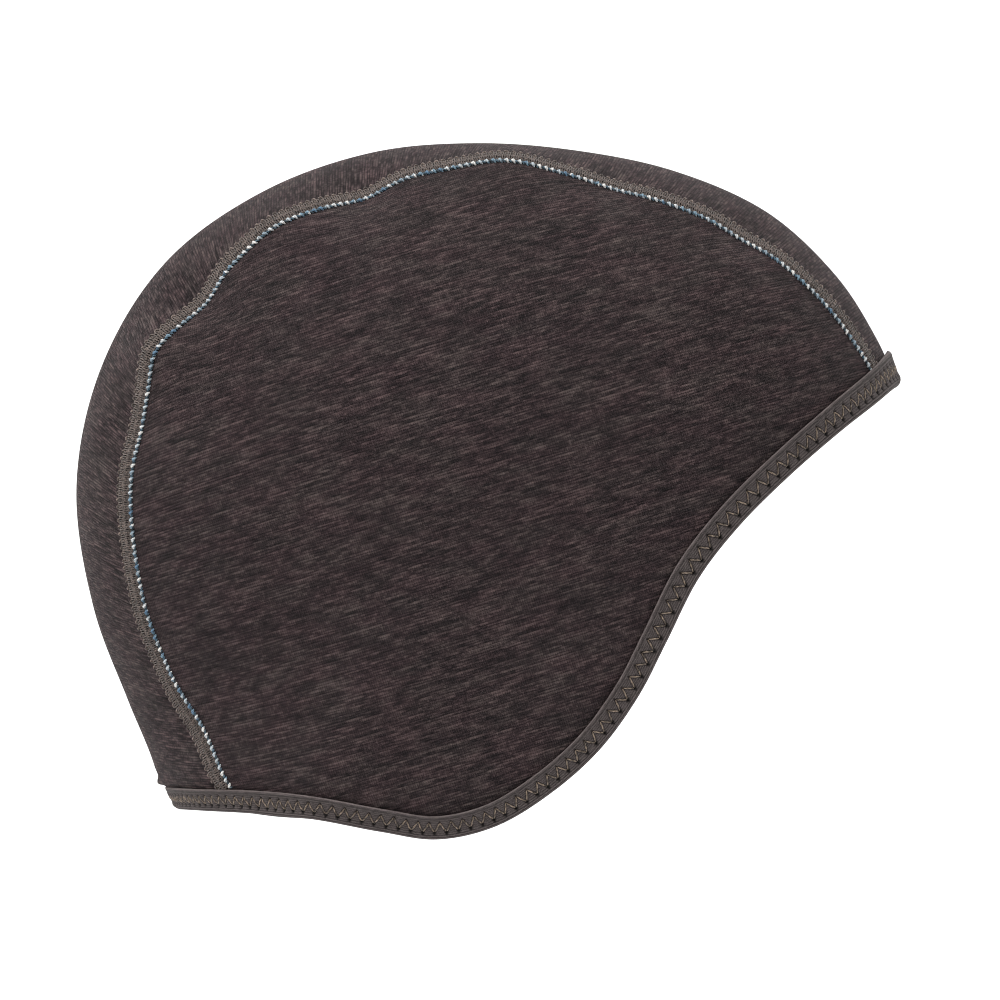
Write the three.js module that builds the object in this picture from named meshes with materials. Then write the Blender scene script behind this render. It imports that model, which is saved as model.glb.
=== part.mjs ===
// A helmet liner cap: a thin three-panel knit skullcap, in the form that it keeps on a head.
// Millimetres. X points to the wearer's front, Y to the wearer's left and Z up.
// The origin is the inside of the crown, where the top of the head bears.

import * as THREE from "three";
import { LoftGeometry } from "three/addons/geometries/LoftGeometry.js";

// The cap's overall form
const CAP_LENGTH = 205;
const CAP_HEIGHT = 174;
const CAP_WIDTH = 150;
const FULLNESS = 2.2; // 2 is an ellipse seen from the front, and more is squarer

// Cloth, seams and edge
const CLOTH = 1.2;
const SEAM_WIDTH = 6.2;
const SEAM_RISE = 0.35; // how far a seam stands proud of each face of the cloth
const SEAM_EDGE = 0.8; // width of the slope along each edge of a seam
const BINDING_DEPTH = 7; // fold to upper edge
const BINDING_CLOTH = 0.8;
const BINDING_ROUNDING = 0.5; // of the fold
const BINDING_EASE = 0.4; // between the binding and the cloth in it
const GAP = 0.3; // left between the other neighbouring pieces

// What the sewing does to the form
const TUCK_DEPTH = 4.5; // how far the elastic edge is drawn in at the nape
const TUCK_BEND = 5; // height above the binding over which the cloth comes out again
const PUCKER_DEPTH = 3; // of the deepest pucker along a seam
const PUCKER_REACH = 13; // to each side of the seam

// How finely the faces are cut
const SEAM_STEPS = 48; // between the bindings
const STRIP_STEPS = 10; // across the centre panel
const HEM_FACET = 4.2; // the longest faces along the open edge
const PANEL_ROWS = [0.16, 0.34, 0.52, 0.7, 0.84, 0.94, 1]; // shares of a row from the tuck to the seam
const PANEL_LEAD = 0.3; // share of a row's length over which it keeps square to the edge
const PANEL_CORNER = 0.2; // of a face, which a panel's faces keep clear of its two corners
const HEM_SAMPLES = 200; // places along half the open edge that a point is measured from
const HEM_POINTS = 800; // of the line that they lie on
const PROFILE_POINTS = 1440;
const PAST_RIM = 8; // degrees past the first and last rows of STRIP, which are well outside the cap
const PROBE = 0.4; // how far off a point is looked at for the slope of the cloth
const SURFACE_PASSES = 5; // of Newton's method
const CROSSING_PASSES = 24; // halvings of a line to find where it crosses a height

const COLOURS = { cloth: 0x453d3b, seam: 0x6b5f59, binding: 0x4a4642 };

// The side outline about the ear-to-ear axis. x is a share of the length and z of the height. The cloth ends
// at the two rims, and the rows between them run on down the face and neck, so that the sides stay full.
const PROFILE = [
  { x: 0.52, z: 0.164, place: "front rim" },
  { x: 0.485, z: 0.255, place: "forehead" },
  { x: 0.443, z: 0.327, place: "forehead" },
  { x: 0.363, z: 0.413, place: "forehead" },
  { x: 0.25, z: 0.4725, place: "crown" },
  { x: 0.122, z: 0.5035, place: "crown" },
  { x: 0, z: 0.5128, place: "crown" },
  { x: -0.121, z: 0.499, place: "crown" },
  { x: -0.253, z: 0.443, place: "back" },
  { x: -0.371, z: 0.342, place: "back" },
  { x: -0.449, z: 0.193, place: "back" },
  { x: -0.48, z: 0.02, place: "back" },
  { x: -0.459, z: -0.155, place: "back" },
  { x: -0.418, z: -0.285, place: "nape" },
  { x: -0.386, z: -0.378, place: "nape" },
  { x: -0.372, z: -0.4475, place: "nape rim" },
  { x: -0.348, z: -0.575, place: "neck" },
  { x: -0.342, z: -0.79, place: "neck" },
  { x: -0.207, z: -0.978, place: "neck" },
  { x: 0.012, z: -1.036, place: "throat" },
  { x: 0.28, z: -0.964, place: "throat" },
  { x: 0.476, z: -0.748, place: "chin" },
  { x: 0.53, z: -0.43, place: "face" },
  { x: 0.534, z: -0.144, place: "face" },
  { x: 0.529, z: 0.043, place: "brow" },
];

// The open edge seen from the side, from the front rim to the nape rim, in the same shares
const HEM = [
  { x: 0.5, z: 0.1424, place: "forehead" },
  { x: 0.4512, z: 0.0965, place: "temple" },
  { x: 0.3902, z: 0.0335, place: "temple" },
  { x: 0.3293, z: -0.0385, place: "temple" },
  { x: 0.2805, z: -0.113, place: "before the ear" },
  { x: 0.2402, z: -0.207, place: "before the ear" },
  { x: 0.2073, z: -0.282, place: "before the ear" },
  { x: 0.1585, z: -0.361, place: "ear" },
  { x: 0.0976, z: -0.4245, place: "ear" },
  { x: 0.0305, z: -0.4715, place: "ear" },
  { x: -0.0402, z: -0.49, place: "lowest" },
  { x: -0.1098, z: -0.479, place: "behind the ear" },
  { x: -0.1951, z: -0.4605, place: "behind the ear" },
  { x: -0.2683, z: -0.452, place: "nape side" },
  { x: -0.3293, z: -0.4495, place: "nape side" },
];

// Half the centre panel's width at each angle about the ear-to-ear axis, as a share of the cap's width
const STRIP = [
  { angle: 14, half: 0.146 },
  { angle: 36, half: 0.2 },
  { angle: 55, half: 0.218 },
  { angle: 70, half: 0.202 },
  { angle: 84, half: 0.193 },
  { angle: 100, half: 0.211 },
  { angle: 120, half: 0.241 },
  { angle: 150, half: 0.26 },
  { angle: 180, half: 0.267 },
  { angle: 210, half: 0.257 },
  { angle: 226, half: 0.293 },
  { angle: 236, half: 0.311 },
];

// Puckers along each seam. depth is a share of the deepest, inwards, and spread is in degrees along the seam.
const PUCKERS = [
  { angle: 44, depth: 0.4, spread: 4 },
  { angle: 65, depth: 0.35, spread: 5 },
  { angle: 84, depth: -0.7, spread: 8 },
  { angle: 109, depth: 0.95, spread: 6 },
  { angle: 126, depth: -0.6, spread: 6 },
  { angle: 143, depth: 1, spread: 5 },
  { angle: 155, depth: -0.95, spread: 4.5 },
  { angle: 168, depth: 0.4, spread: 5 },
];

// How much of the tuck each stretch of the edge takes, from the front rim at 0 to the nape at 1
const TUCK = [
  { along: 0, share: 0.1 },
  { along: 0.35, share: 0.3 },
  { along: 0.6, share: 0.65 },
  { along: 0.85, share: 0.7 },
  { along: 1, share: 1 },
];

const HALF_WIDTH = CAP_WIDTH / 2;
const EDGE_INSET = BINDING_CLOTH + BINDING_EASE; // the cloth's cut edge lies this far above the fold
const TUCK_REACH = BINDING_DEPTH + TUCK_BEND;
const PAST_RIMS = [STRIP[0].angle - PAST_RIM, STRIP.at(-1).angle + PAST_RIM];
const OVERHEAD = (PAST_RIMS[0] + PAST_RIMS[1]) / 2;
const EAR_AXIS = new THREE.Vector3(0, 1, 0);

// Reads a column of a table at a key between its rows, along a smooth curve through them.
function read(rows, key, column, at) {
  const last = rows.length - 1;
  const slope = (a, b) => (rows[b][column] - rows[a][column]) / (rows[b][key] - rows[a][key]);
  if (at <= rows[0][key]) return rows[0][column];
  if (at >= rows[last][key]) return rows[last][column];
  const i = rows.findIndex((row) => row[key] > at) - 1;
  const step = rows[i + 1][key] - rows[i][key];
  const t = (at - rows[i][key]) / step;
  const from = slope(Math.max(i - 1, 0), i + 1) * step;
  const to = slope(i, Math.min(i + 2, last)) * step;
  const rise = rows[i + 1][column] - rows[i][column];
  return rows[i][column] + t * (from + t * (3 * rise - 2 * from - to + t * (from + to - 2 * rise)));
}

// Points and angles of the middle plane, seen from the side and about the ear-to-ear axis
const sideView = (row) => new THREE.Vector3(row.x * CAP_LENGTH, 0, row.z * CAP_HEIGHT);
const fullTurn = (degrees) => THREE.MathUtils.euclideanModulo(degrees, 360);
const angleOf = (x, z) => fullTurn(THREE.MathUtils.radToDeg(Math.atan2(z, x)));
const turnedTo = (angle, reach) =>
  new THREE.Vector3(reach, 0, 0).applyAxisAngle(EAR_AXIS, -THREE.MathUtils.degToRad(angle));

// The outline's reach from the ear-to-ear axis at any angle
const outline = new THREE.CatmullRomCurve3(PROFILE.map(sideView), true).getPoints(PROFILE_POINTS);
const turns = outline.slice(1).map((p) => ({ angle: angleOf(p.x, p.z), reach: Math.hypot(p.x, p.z) }));
turns.sort((a, b) => a.angle - b.angle);
function reachAt(angle) {
  const found = turns.findIndex((turn) => turn.angle > fullTurn(angle));
  const after = turns[Math.max(found, 0)];
  const before = turns.at(Math.max(found, 0) - 1);
  const passed = fullTurn(angle - before.angle) / fullTurn(after.angle - before.angle);
  return THREE.MathUtils.lerp(before.reach, after.reach, passed);
}

// The head form as a level set, 0 on the cloth's outer face before it is tucked and puckered
function level(p) {
  const reach = Math.hypot(p.x, p.z) / reachAt(angleOf(p.x, p.z));
  return reach ** FULLNESS + Math.abs(p.y / HALF_WIDTH) ** FULLNESS - 1;
}

function gradient(p) {
  const slopes = ["x", "y", "z"].map((axis) => {
    const ahead = p.clone();
    const behind = p.clone();
    ahead[axis] += PROBE / 2;
    behind[axis] -= PROBE / 2;
    return (level(ahead) - level(behind)) / PROBE;
  });
  return new THREE.Vector3(...slopes);
}

const outwards = (p) => gradient(p).normalize();

// Moves a point that is near the form onto it.
function ontoForm(p) {
  const moved = p.clone();
  for (let pass = 0; pass < SURFACE_PASSES; pass++) {
    const slope = gradient(moved);
    moved.addScaledVector(slope, -level(moved) / slope.lengthSq());
  }
  return moved;
}

// The point of the form's right side that has this x and z
function onSide(x, z) {
  const reach = Math.min(Math.hypot(x, z) / reachAt(angleOf(x, z)), 1);
  return new THREE.Vector3(x, -HALF_WIDTH * (1 - reach ** FULLNESS) ** (1 / FULLNESS), z);
}

// The right half of the edge on the form, from the front rim to the nape rim, with the way up from the edge
const rims = ["front rim", "nape rim"].map((place) => sideView(PROFILE.find((row) => row.place === place)));
const hemCurve = new THREE.CatmullRomCurve3([rims[0], ...HEM.map(sideView), rims[1]], false);
const hemLine = hemCurve.getPoints(HEM_POINTS).map((p) => onSide(p.x, p.z));
const hemLengths = hemLine.map(() => 0);
hemLine.forEach((p, i) => {
  if (i) hemLengths[i] = hemLengths[i - 1] + p.distanceTo(hemLine[i - 1]);
});

// A point of the edge at a share of the way from front rim to nape rim, or past a rim on the left side
function hemPoint(along) {
  const within = 1 - Math.abs(1 - Math.abs(along));
  const wanted = within * hemLengths.at(-1);
  const after = Math.max(hemLengths.findIndex((length) => length >= wanted), 1);
  const t = (wanted - hemLengths[after - 1]) / (hemLengths[after] - hemLengths[after - 1]);
  const point = hemLine[after - 1].clone().lerp(hemLine[after], t);
  return along < 0 || along > 1 ? point.setY(-point.y) : point;
}

// A place on the edge, with the way onwards along it and the way up across the binding
function hemPlace(along) {
  const point = hemPoint(along);
  const onwards = hemPoint(along + 1 / HEM_SAMPLES).sub(hemPoint(along - 1 / HEM_SAMPLES)).normalize();
  return { along, point, onwards, up: onwards.clone().cross(outwards(point)) };
}
const hemPlaces = Array.from({ length: HEM_SAMPLES + 1 }, (_, i) => hemPlace(i / HEM_SAMPLES));
const HEM_STEPS = Math.ceil(hemLengths.at(-1) / HEM_FACET);
const hemSteps = Array.from({ length: HEM_STEPS + 1 }, (_, i) => hemPlace(i / HEM_STEPS));

// How far up from the edge a point lies, and beside which part of the edge. It reads either side of the cap.
function fromHem(p) {
  const q = p.clone().setY(-Math.abs(p.y));
  let nearest = hemPlaces[0];
  for (const place of hemPlaces) {
    if (place.point.distanceToSquared(q) < nearest.point.distanceToSquared(q)) nearest = place;
  }
  const off = q.clone().sub(nearest.point);
  return { along: nearest.along + off.dot(nearest.onwards) / hemLengths.at(-1), inset: off.dot(nearest.up) };
}

// A seam's middle line on the right side, at an angle about the ear-to-ear axis
function seamPoint(angle) {
  const y = read(STRIP, "angle", "half", angle) * CAP_WIDTH;
  const reach = (1 - (y / HALF_WIDTH) ** FULLNESS) ** (1 / FULLNESS);
  return turnedTo(angle, reach * reachAt(angle)).setY(-y);
}

// A line that runs beside a seam, on its side panel's side, or on the centre panel's if across is negative
function besideSeam(angle, across) {
  const point = seamPoint(angle);
  const along = seamPoint(angle + 1).sub(seamPoint(angle - 1));
  const sideways = outwards(point).cross(along).normalize();
  return ontoForm(point.addScaledVector(sideways, across));
}

// How deep the puckers are at a point, which fade to each side of the seam and under the binding
function pucker(p, inset) {
  const angle = angleOf(p.x, p.z);
  const beside = p.clone().setY(-Math.abs(p.y)).distanceTo(seamPoint(angle));
  const depths = PUCKERS.map((row) => row.depth * Math.exp(-(((angle - row.angle) / row.spread) ** 2)));
  const deepest = depths.reduce((sum, depth) => sum + depth, 0) * PUCKER_DEPTH;
  const clear = THREE.MathUtils.smoothstep(inset, 0, 2 * BINDING_DEPTH);
  return deepest * clear * Math.exp(-((beside / PUCKER_REACH) ** 2));
}

// How far in the elastic edge draws the cloth: the binding leans straight, and the cloth bends above it
function tuck({ along, inset }) {
  const bent = Math.max(TUCK_REACH - Math.max(inset, BINDING_DEPTH), 0) ** 2 / (2 * TUCK_BEND);
  const leaning = Math.max(BINDING_DEPTH - inset, 0);
  const drawn = (bent + leaning) / (TUCK_BEND / 2 + BINDING_DEPTH);
  return TUCK_DEPTH * drawn * read(TUCK, "along", "share", along);
}

function sewn(p) {
  const beside = fromHem(p);
  const depth = tuck(beside) + pucker(p, beside.inset);
  return p.clone().addScaledVector(outwards(p), -depth);
}

// A point of the form as sewn, lifted off the cloth's outer face, or sunk into it if height is negative
function lift(p, height) {
  const normal = outwards(p);
  const forwards = new THREE.Vector3(-normal.y, normal.x, 0);
  if (forwards.length() < PROBE) forwards.set(0, 1, 0).cross(normal);
  forwards.normalize();
  const across = (way) => {
    const ahead = sewn(ontoForm(p.clone().addScaledVector(way, PROBE)));
    return ahead.sub(sewn(ontoForm(p.clone().addScaledVector(way, -PROBE))));
  };
  const upright = normal.clone().cross(forwards);
  return sewn(p).addScaledVector(across(forwards).cross(across(upright)).normalize(), height);
}

// Where a line comes down to a height above the edge, between a place that is higher and one that is lower
function crossing(lineAt, height, higher, lower) {
  let [inside, beyond] = [higher, lower];
  for (let pass = 0; pass < CROSSING_PASSES; pass++) {
    const middle = (inside + beyond) / 2;
    if (fromHem(lineAt(middle)).inset > height) inside = middle;
    else beyond = middle;
  }
  return inside;
}

// Steps along a line that runs from the forehead to the nape, with both ends where the cloth is cut
function steps(lineAt) {
  const heights = [EDGE_INSET, BINDING_DEPTH, TUCK_REACH];
  const [starts, ends] = PAST_RIMS.map((outside) =>
    heights.map((height) => crossing(lineAt, height, OVERHEAD, outside)),
  );
  const between = Array.from({ length: SEAM_STEPS - 1 }, (_, i) =>
    THREE.MathUtils.lerp(starts.at(-1), ends.at(-1), (i + 1) / SEAM_STEPS),
  );
  return [...starts, ...between, ...ends.toReversed()].map(lineAt);
}

// The outer face's points, then the inner face's in the other direction
const thicken = (points, outer, inner) => [
  ...points.map((p) => lift(p, outer)),
  ...points.toReversed().map((p) => lift(p, inner)),
];

const material = (color) => new THREE.MeshStandardMaterial({ color, roughness: 0.95, metalness: 0 });

// A side panel, in rows that run up from the edge to the seam. The rows shrink to a point at the panel's two
// corners, and step at the binding's upper edge and where the tuck ends.
function sidePanel() {
  const seamEdge = (angle) => besideSeam(angle, SEAM_WIDTH / 2 + GAP);
  const corners = PAST_RIMS.map((outside) => crossing(seamEdge, EDGE_INSET, OVERHEAD, outside));
  const [front, nape] = corners.map((angle) => fromHem(seamEdge(angle)).along);
  const clear = PANEL_CORNER / HEM_STEPS;
  const between = hemSteps.filter(({ along }) => along > front + clear && along < nape - clear);
  const rows = [{ along: front }, ...between, { along: nape }].map(({ along, point, up }) => {
    const top = seamEdge(THREE.MathUtils.lerp(...corners, (along - front) / (nape - front)));
    const bottom = point ? ontoForm(point.clone().addScaledVector(up, EDGE_INSET)) : top;
    const lead = point ? bottom.clone().addScaledVector(up, PANEL_LEAD * bottom.distanceTo(top)) : top;
    const curve = new THREE.QuadraticBezierCurve3(bottom, lead, top);
    const rowAt = (share) => {
      const p = curve.getPoint(share);
      return onSide(p.x, p.z);
    };
    const heights = [(EDGE_INSET + BINDING_DEPTH) / 2, BINDING_DEPTH, TUCK_REACH];
    const band = heights.map((height) => crossing(rowAt, height, 1, 0));
    const above = PANEL_ROWS.map((share) => THREE.MathUtils.lerp(band.at(-1), 1, share));
    return thicken([0, ...band, ...above].map(rowAt), 0, -CLOTH);
  });
  return new LoftGeometry(rows);
}

// The centre panel, in lines side by side from the forehead to the nape
function centrePanel() {
  const shares = Array.from({ length: STRIP_STEPS + 1 }, (_, i) => (2 * i) / STRIP_STEPS - 1);
  const lines = shares.map((share) =>
    steps((angle) => {
      const middle = turnedTo(angle, reachAt(angle));
      const p = middle.lerp(besideSeam(angle, -SEAM_WIDTH / 2 - GAP), share ** 2);
      return onSide(p.x, p.z).multiply({ x: 1, y: -Math.sign(share), z: 1 });
    }),
  );
  const rows = lines[0].map((_, i) => lines.map((line) => line[i]));
  const ends = [rows[0], rows.at(-1)].map((row) => thicken(row, 0, 0));
  return new LoftGeometry([ends[0], ...rows.map((row) => thicken(row, 0, -CLOTH)), ends[1]]);
}

// A flatlock seam: a flat band between the cut edges, proud of both faces, and flush in the binding
function flatlockSeam() {
  const half = SEAM_WIDTH / 2;
  const offsets = [half, half - SEAM_EDGE, SEAM_EDGE - half, -half];
  const lines = offsets.map((across) => steps((angle) => besideSeam(angle, across)));
  const sections = lines[0].map((_, i) => {
    const heights = lines.map((line, j) => {
      const clear = THREE.MathUtils.smoothstep(fromHem(line[i]).inset, BINDING_DEPTH, TUCK_REACH);
      const alongEdge = Math.abs(offsets[j]) === half;
      return alongEdge ? 0 : SEAM_RISE * clear;
    });
    const outer = lines.map((line, j) => lift(line[i], heights[j]));
    const inner = lines.map((line, j) => lift(line[i], -CLOTH - heights[j]));
    return [...outer, ...inner.toReversed()];
  });
  return new LoftGeometry(sections, { capStart: true, capEnd: true });
}

// The binding: an elastic band folded over the edge, as a channel that runs round the whole opening
function hemBinding() {
  const outer = BINDING_EASE + BINDING_CLOTH;
  const inner = -CLOTH - outer;
  const channel = [
    { height: BINDING_EASE, up: BINDING_DEPTH },
    { height: BINDING_EASE, up: BINDING_CLOTH },
    { height: -CLOTH - BINDING_EASE, up: BINDING_CLOTH },
    { height: -CLOTH - BINDING_EASE, up: BINDING_DEPTH },
    { height: inner, up: BINDING_DEPTH },
    { height: inner, up: BINDING_ROUNDING },
    { height: inner + BINDING_ROUNDING, up: 0 },
    { height: outer - BINDING_ROUNDING, up: 0 },
    { height: outer, up: BINDING_ROUNDING },
    { height: outer, up: BINDING_DEPTH },
  ];
  const half = hemSteps.map(({ point, up }) =>
    channel.map((corner) => lift(ontoForm(point.clone().addScaledVector(up, corner.up)), corner.height)),
  );
  const mirrored = half.slice(0, -1).toReversed();
  return new LoftGeometry([...half, ...mirrored.map((section) => section.map((p) => p.clone().setY(-p.y)))]);
}

function piece(name, geometry, color, side = 1) {
  const mesh = new THREE.Mesh(geometry, material(color));
  mesh.name = name;
  mesh.scale.y = side;
  return mesh;
}

const cap = new THREE.Group();
const panel = sidePanel();
const seam = flatlockSeam();
for (const [side, turned] of Object.entries({ right: 1, left: -1 })) {
  cap.add(piece(`side_panel_${side}`, panel, COLOURS.cloth, turned));
  cap.add(piece(`flatlock_seam_${side}`, seam, COLOURS.seam, turned));
}
cap.add(piece("centre_panel", centrePanel(), COLOURS.cloth));
cap.add(piece("hem_binding", hemBinding(), COLOURS.binding));

const crown = outline.reduce((highest, p) => (p.z > highest.z ? p : highest));
cap.position.set(-crown.x, 0, CLOTH - crown.z);

export default cap;
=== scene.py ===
"""A helmet liner cap, in the form that it keeps on a head: three knit panels, two flatlock seams and
a bound edge."""

import math

import bmesh
import bpy
import numpy as np
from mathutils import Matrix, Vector


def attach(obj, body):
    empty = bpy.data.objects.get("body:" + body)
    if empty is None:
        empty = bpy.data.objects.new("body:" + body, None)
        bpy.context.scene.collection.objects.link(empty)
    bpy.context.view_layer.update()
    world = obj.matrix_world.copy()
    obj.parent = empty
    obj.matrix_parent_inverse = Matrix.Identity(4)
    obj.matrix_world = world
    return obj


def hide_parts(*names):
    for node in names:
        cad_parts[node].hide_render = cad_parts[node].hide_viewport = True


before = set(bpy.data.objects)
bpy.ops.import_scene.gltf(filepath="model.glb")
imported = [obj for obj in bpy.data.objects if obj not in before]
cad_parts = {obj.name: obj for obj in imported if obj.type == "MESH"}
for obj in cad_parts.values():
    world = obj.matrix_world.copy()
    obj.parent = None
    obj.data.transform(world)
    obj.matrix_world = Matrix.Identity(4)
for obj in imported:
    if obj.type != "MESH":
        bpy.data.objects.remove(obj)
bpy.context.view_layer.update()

MM = 0.001

# The cap's form in millimetres, as its solids have it. x points to the front, y to the left and z up.
CAP_LENGTH = 205
CAP_HEIGHT = 174
CAP_WIDTH = 150
FULLNESS = 2.2  # 2 is an ellipse seen from the front, and more is squarer
CLOTH = 1.2
SEAM_WIDTH = 6.2
SEAM_RISE = 0.35
BINDING_DEPTH = 7.0
BINDING_CLOTH = 0.8
BINDING_EASE = 0.4
TUCK_DEPTH = 4.5
TUCK_BEND = 5.0
PUCKER_DEPTH = 3.0
PUCKER_REACH = 13.0
HALF_WIDTH = CAP_WIDTH / 2
EDGE_INSET = BINDING_CLOTH + BINDING_EASE
TUCK_REACH = BINDING_DEPTH + TUCK_BEND

# How closely the form is worked out
PROFILE_POINTS = 1440
HEM_POINTS = 800
HEM_SAMPLES = 200
PROBE = 0.4
SURFACE_PASSES = 5
CROSSING_PASSES = 24
CHUNK = 4000  # points measured from the edge at a time
PAST_RIM = 8  # degrees past the strip's ends, which are well outside the cap
SEAM_POINTS = 720

# The side outline, as shares of the length and the height, from the front rim over the crown to the
# nape rim. The rows below the cap close it through the neck and the face, where there is no cloth.
OUTLINE = [
    (0.52, 0.164), (0.485, 0.255), (0.443, 0.327), (0.363, 0.413), (0.25, 0.4725),
    (0.122, 0.5035), (0, 0.5128), (-0.121, 0.499), (-0.253, 0.443), (-0.371, 0.342),
    (-0.449, 0.193), (-0.48, 0.02), (-0.459, -0.155), (-0.418, -0.285), (-0.386, -0.378),
    (-0.372, -0.4475),
]
BELOW_THE_CAP = [
    (-0.348, -0.575), (-0.342, -0.79), (-0.207, -0.978), (0.012, -1.036), (0.28, -0.964),
    (0.476, -0.748), (0.53, -0.43), (0.534, -0.144), (0.529, 0.043),
]

# The open edge between the two rims, in the same shares
HEM = [
    (0.5, 0.1424), (0.4512, 0.0965), (0.3902, 0.0335), (0.3293, -0.0385), (0.2805, -0.113),
    (0.2402, -0.207), (0.2073, -0.282), (0.1585, -0.361), (0.0976, -0.4245), (0.0305, -0.4715),
    (-0.0402, -0.49), (-0.1098, -0.479), (-0.1951, -0.4605), (-0.2683, -0.452), (-0.3293, -0.4495),
]

# Half the centre panel's width, as a share of the cap's, at angles about the ear-to-ear axis
STRIP = {
    "angle": [14, 36, 55, 70, 84, 100, 120, 150, 180, 210, 226, 236],
    "half": [0.146, 0.2, 0.218, 0.202, 0.193, 0.211, 0.241, 0.26, 0.267, 0.257, 0.293, 0.311],
}

# Puckers along each seam, with depth as a share of the deepest, inwards, and spread in degrees
PUCKERS = {
    "angle": [44, 65, 84, 109, 126, 143, 155, 168],
    "depth": [0.4, 0.35, -0.7, 0.95, -0.6, 1, -0.95, 0.4],
    "spread": [4, 5, 8, 6, 6, 5, 4.5, 5],
}

# How much of the tuck each stretch of the edge takes, from the front rim at 0 to the nape at 1
TUCK = {"along": [0, 0.35, 0.6, 0.85, 1], "share": [0.1, 0.3, 0.65, 0.7, 1]}


def length(vectors):
    return np.linalg.norm(vectors, axis=-1, keepdims=True)


def unit(vectors):
    return vectors / length(vectors)


def blend(a, b, share):
    return a + (b - a) * share


def smoothstep(low, high, at):
    t = np.clip((at - low) / (high - low), 0, 1)
    return t * t * (3 - 2 * t)


def read(table, key, column, at):
    """A table's column at keys between its rows, on a smooth curve through them"""
    keys, values = np.array(table[key], float), np.array(table[column], float)
    at = np.clip(at, keys[0], keys[-1])
    i = np.clip(np.searchsorted(keys, at, side="right") - 1, 0, len(keys) - 2)
    before, after = np.maximum(i - 1, 0), np.minimum(i + 2, len(keys) - 1)
    step = keys[i + 1] - keys[i]
    t = (at - keys[i]) / step
    start = (values[i + 1] - values[before]) / (keys[i + 1] - keys[before]) * step
    end = (values[after] - values[i]) / (keys[after] - keys[i]) * step
    rise = values[i + 1] - values[i]
    return values[i] + t * (start + t * (3 * rise - 2 * start - end + t * (start + end - 2 * rise)))


def curve_through(rows, closed, count):
    """Points of the middle plane, on a smooth curve through rows of shares of the length and height"""
    given = np.array([(x * CAP_LENGTH, 0, z * CAP_HEIGHT) for x, z in rows])
    if closed:
        ring, spans = np.concatenate([given[-1:], given, given[:2]]), len(given)
    else:
        ends = 2 * given[:1] - given[1:2], 2 * given[-1:] - given[-2:-1]
        ring, spans = np.concatenate([ends[0], given, ends[1]]), len(given) - 1
    at = np.linspace(0, spans, count + 1)
    i = np.minimum(at.astype(int), spans - 1)
    t = (at - i)[:, None]
    a, b, c, d = (ring[i + k] for k in range(4))
    before, within, after = (np.sqrt(length(q - p)) for p, q in ((a, b), (b, c), (c, d)))
    start = ((b - a) / before - (c - a) / (before + within) + (c - b) / within) * within
    end = ((c - b) / within - (d - b) / (within + after) + (d - c) / after) * within
    return b + t * (start + t * (3 * (c - b) - 2 * start - end + t * (2 * (b - c) + start + end)))


outline = curve_through(OUTLINE + BELOW_THE_CAP, True, PROFILE_POINTS)
crown = outline[outline[:, 2].argmax()]
TO_FRAME = np.array([-crown[0], 0, CLOTH - crown[2]])


def angle_of(x, z):
    return np.degrees(np.arctan2(z, x)) % 360


outline_angles = angle_of(outline[:, 0], outline[:, 2])
outline_lengths = np.concatenate([[0], np.cumsum(length(np.diff(outline, axis=0)))])
outline_reaches = np.hypot(outline[:, 0], outline[:, 2])


def reach_at(angle):
    return np.interp(angle, outline_angles, outline_reaches, period=360)


def turned_to(angle, reach):
    turn = np.radians(angle)
    return np.stack([np.cos(turn) * reach, 0 * turn, np.sin(turn) * reach], axis=-1)


def level(p):
    """0 on the cloth's outer face before it is tucked and puckered, and less than 0 inside it"""
    reach = np.hypot(p[..., 0], p[..., 2]) / reach_at(angle_of(p[..., 0], p[..., 2]))
    return reach**FULLNESS + np.abs(p[..., 1] / HALF_WIDTH) ** FULLNESS - 1


def gradient(p):
    steps = np.eye(3) * PROBE / 2
    return np.stack([(level(p + step) - level(p - step)) / PROBE for step in steps], axis=-1)


def outwards(p):
    return unit(gradient(p))


def onto_form(p):
    for _ in range(SURFACE_PASSES):
        slope = gradient(p)
        p = p - slope * (level(p) / (slope**2).sum(-1))[..., None]
    return p


def on_side(x, z):
    """The points of the form's right side that have this x and z"""
    reach = np.minimum(np.hypot(x, z) / reach_at(angle_of(x, z)), 1)
    return np.stack([x, -HALF_WIDTH * (1 - reach**FULLNESS) ** (1 / FULLNESS), z], axis=-1)


hem_line = curve_through([OUTLINE[0], *HEM, OUTLINE[-1]], False, HEM_POINTS)
hem_line = on_side(hem_line[:, 0], hem_line[:, 2])
hem_lengths = np.concatenate([[0], np.cumsum(length(np.diff(hem_line, axis=0)))])
HALF_HEM = hem_lengths[-1]


def hem_point(along):
    """Points of the edge, from the front rim at 0 to the nape rim at 1, and on round the left side"""
    at = (1 - np.abs(1 - np.abs(along))) * HALF_HEM
    point = np.stack([np.interp(at, hem_lengths, axis) for axis in hem_line.T], axis=-1)
    point[..., 1] *= np.where((along < 0) | (along > 1), -1, 1)
    return point


def hem_place(along):
    """Points of the edge, with the way onwards along it and the way up across the binding"""
    point = hem_point(along)
    onwards = unit(hem_point(along + 1 / HEM_SAMPLES) - hem_point(along - 1 / HEM_SAMPLES))
    return point, onwards, np.cross(onwards, outwards(point))


place_along = np.linspace(0, 1, HEM_SAMPLES + 1)
place_point, place_onwards, place_up = hem_place(place_along)


def from_hem(p):
    """How far along the edge points lie, and how far up from it"""
    q = p.reshape(-1, 3) * [1, 0, 1] + np.abs(p.reshape(-1, 3)) * [0, -1, 0]
    chunks = np.array_split(q, len(q) // CHUNK + 1)
    near = np.concatenate([((c[:, None] - place_point) ** 2).sum(-1).argmin(1) for c in chunks])
    off = q - place_point[near]
    along = place_along[near] + (off * place_onwards[near]).sum(-1) / HALF_HEM
    return along.reshape(p.shape[:-1]), (off * place_up[near]).sum(-1).reshape(p.shape[:-1])


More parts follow.
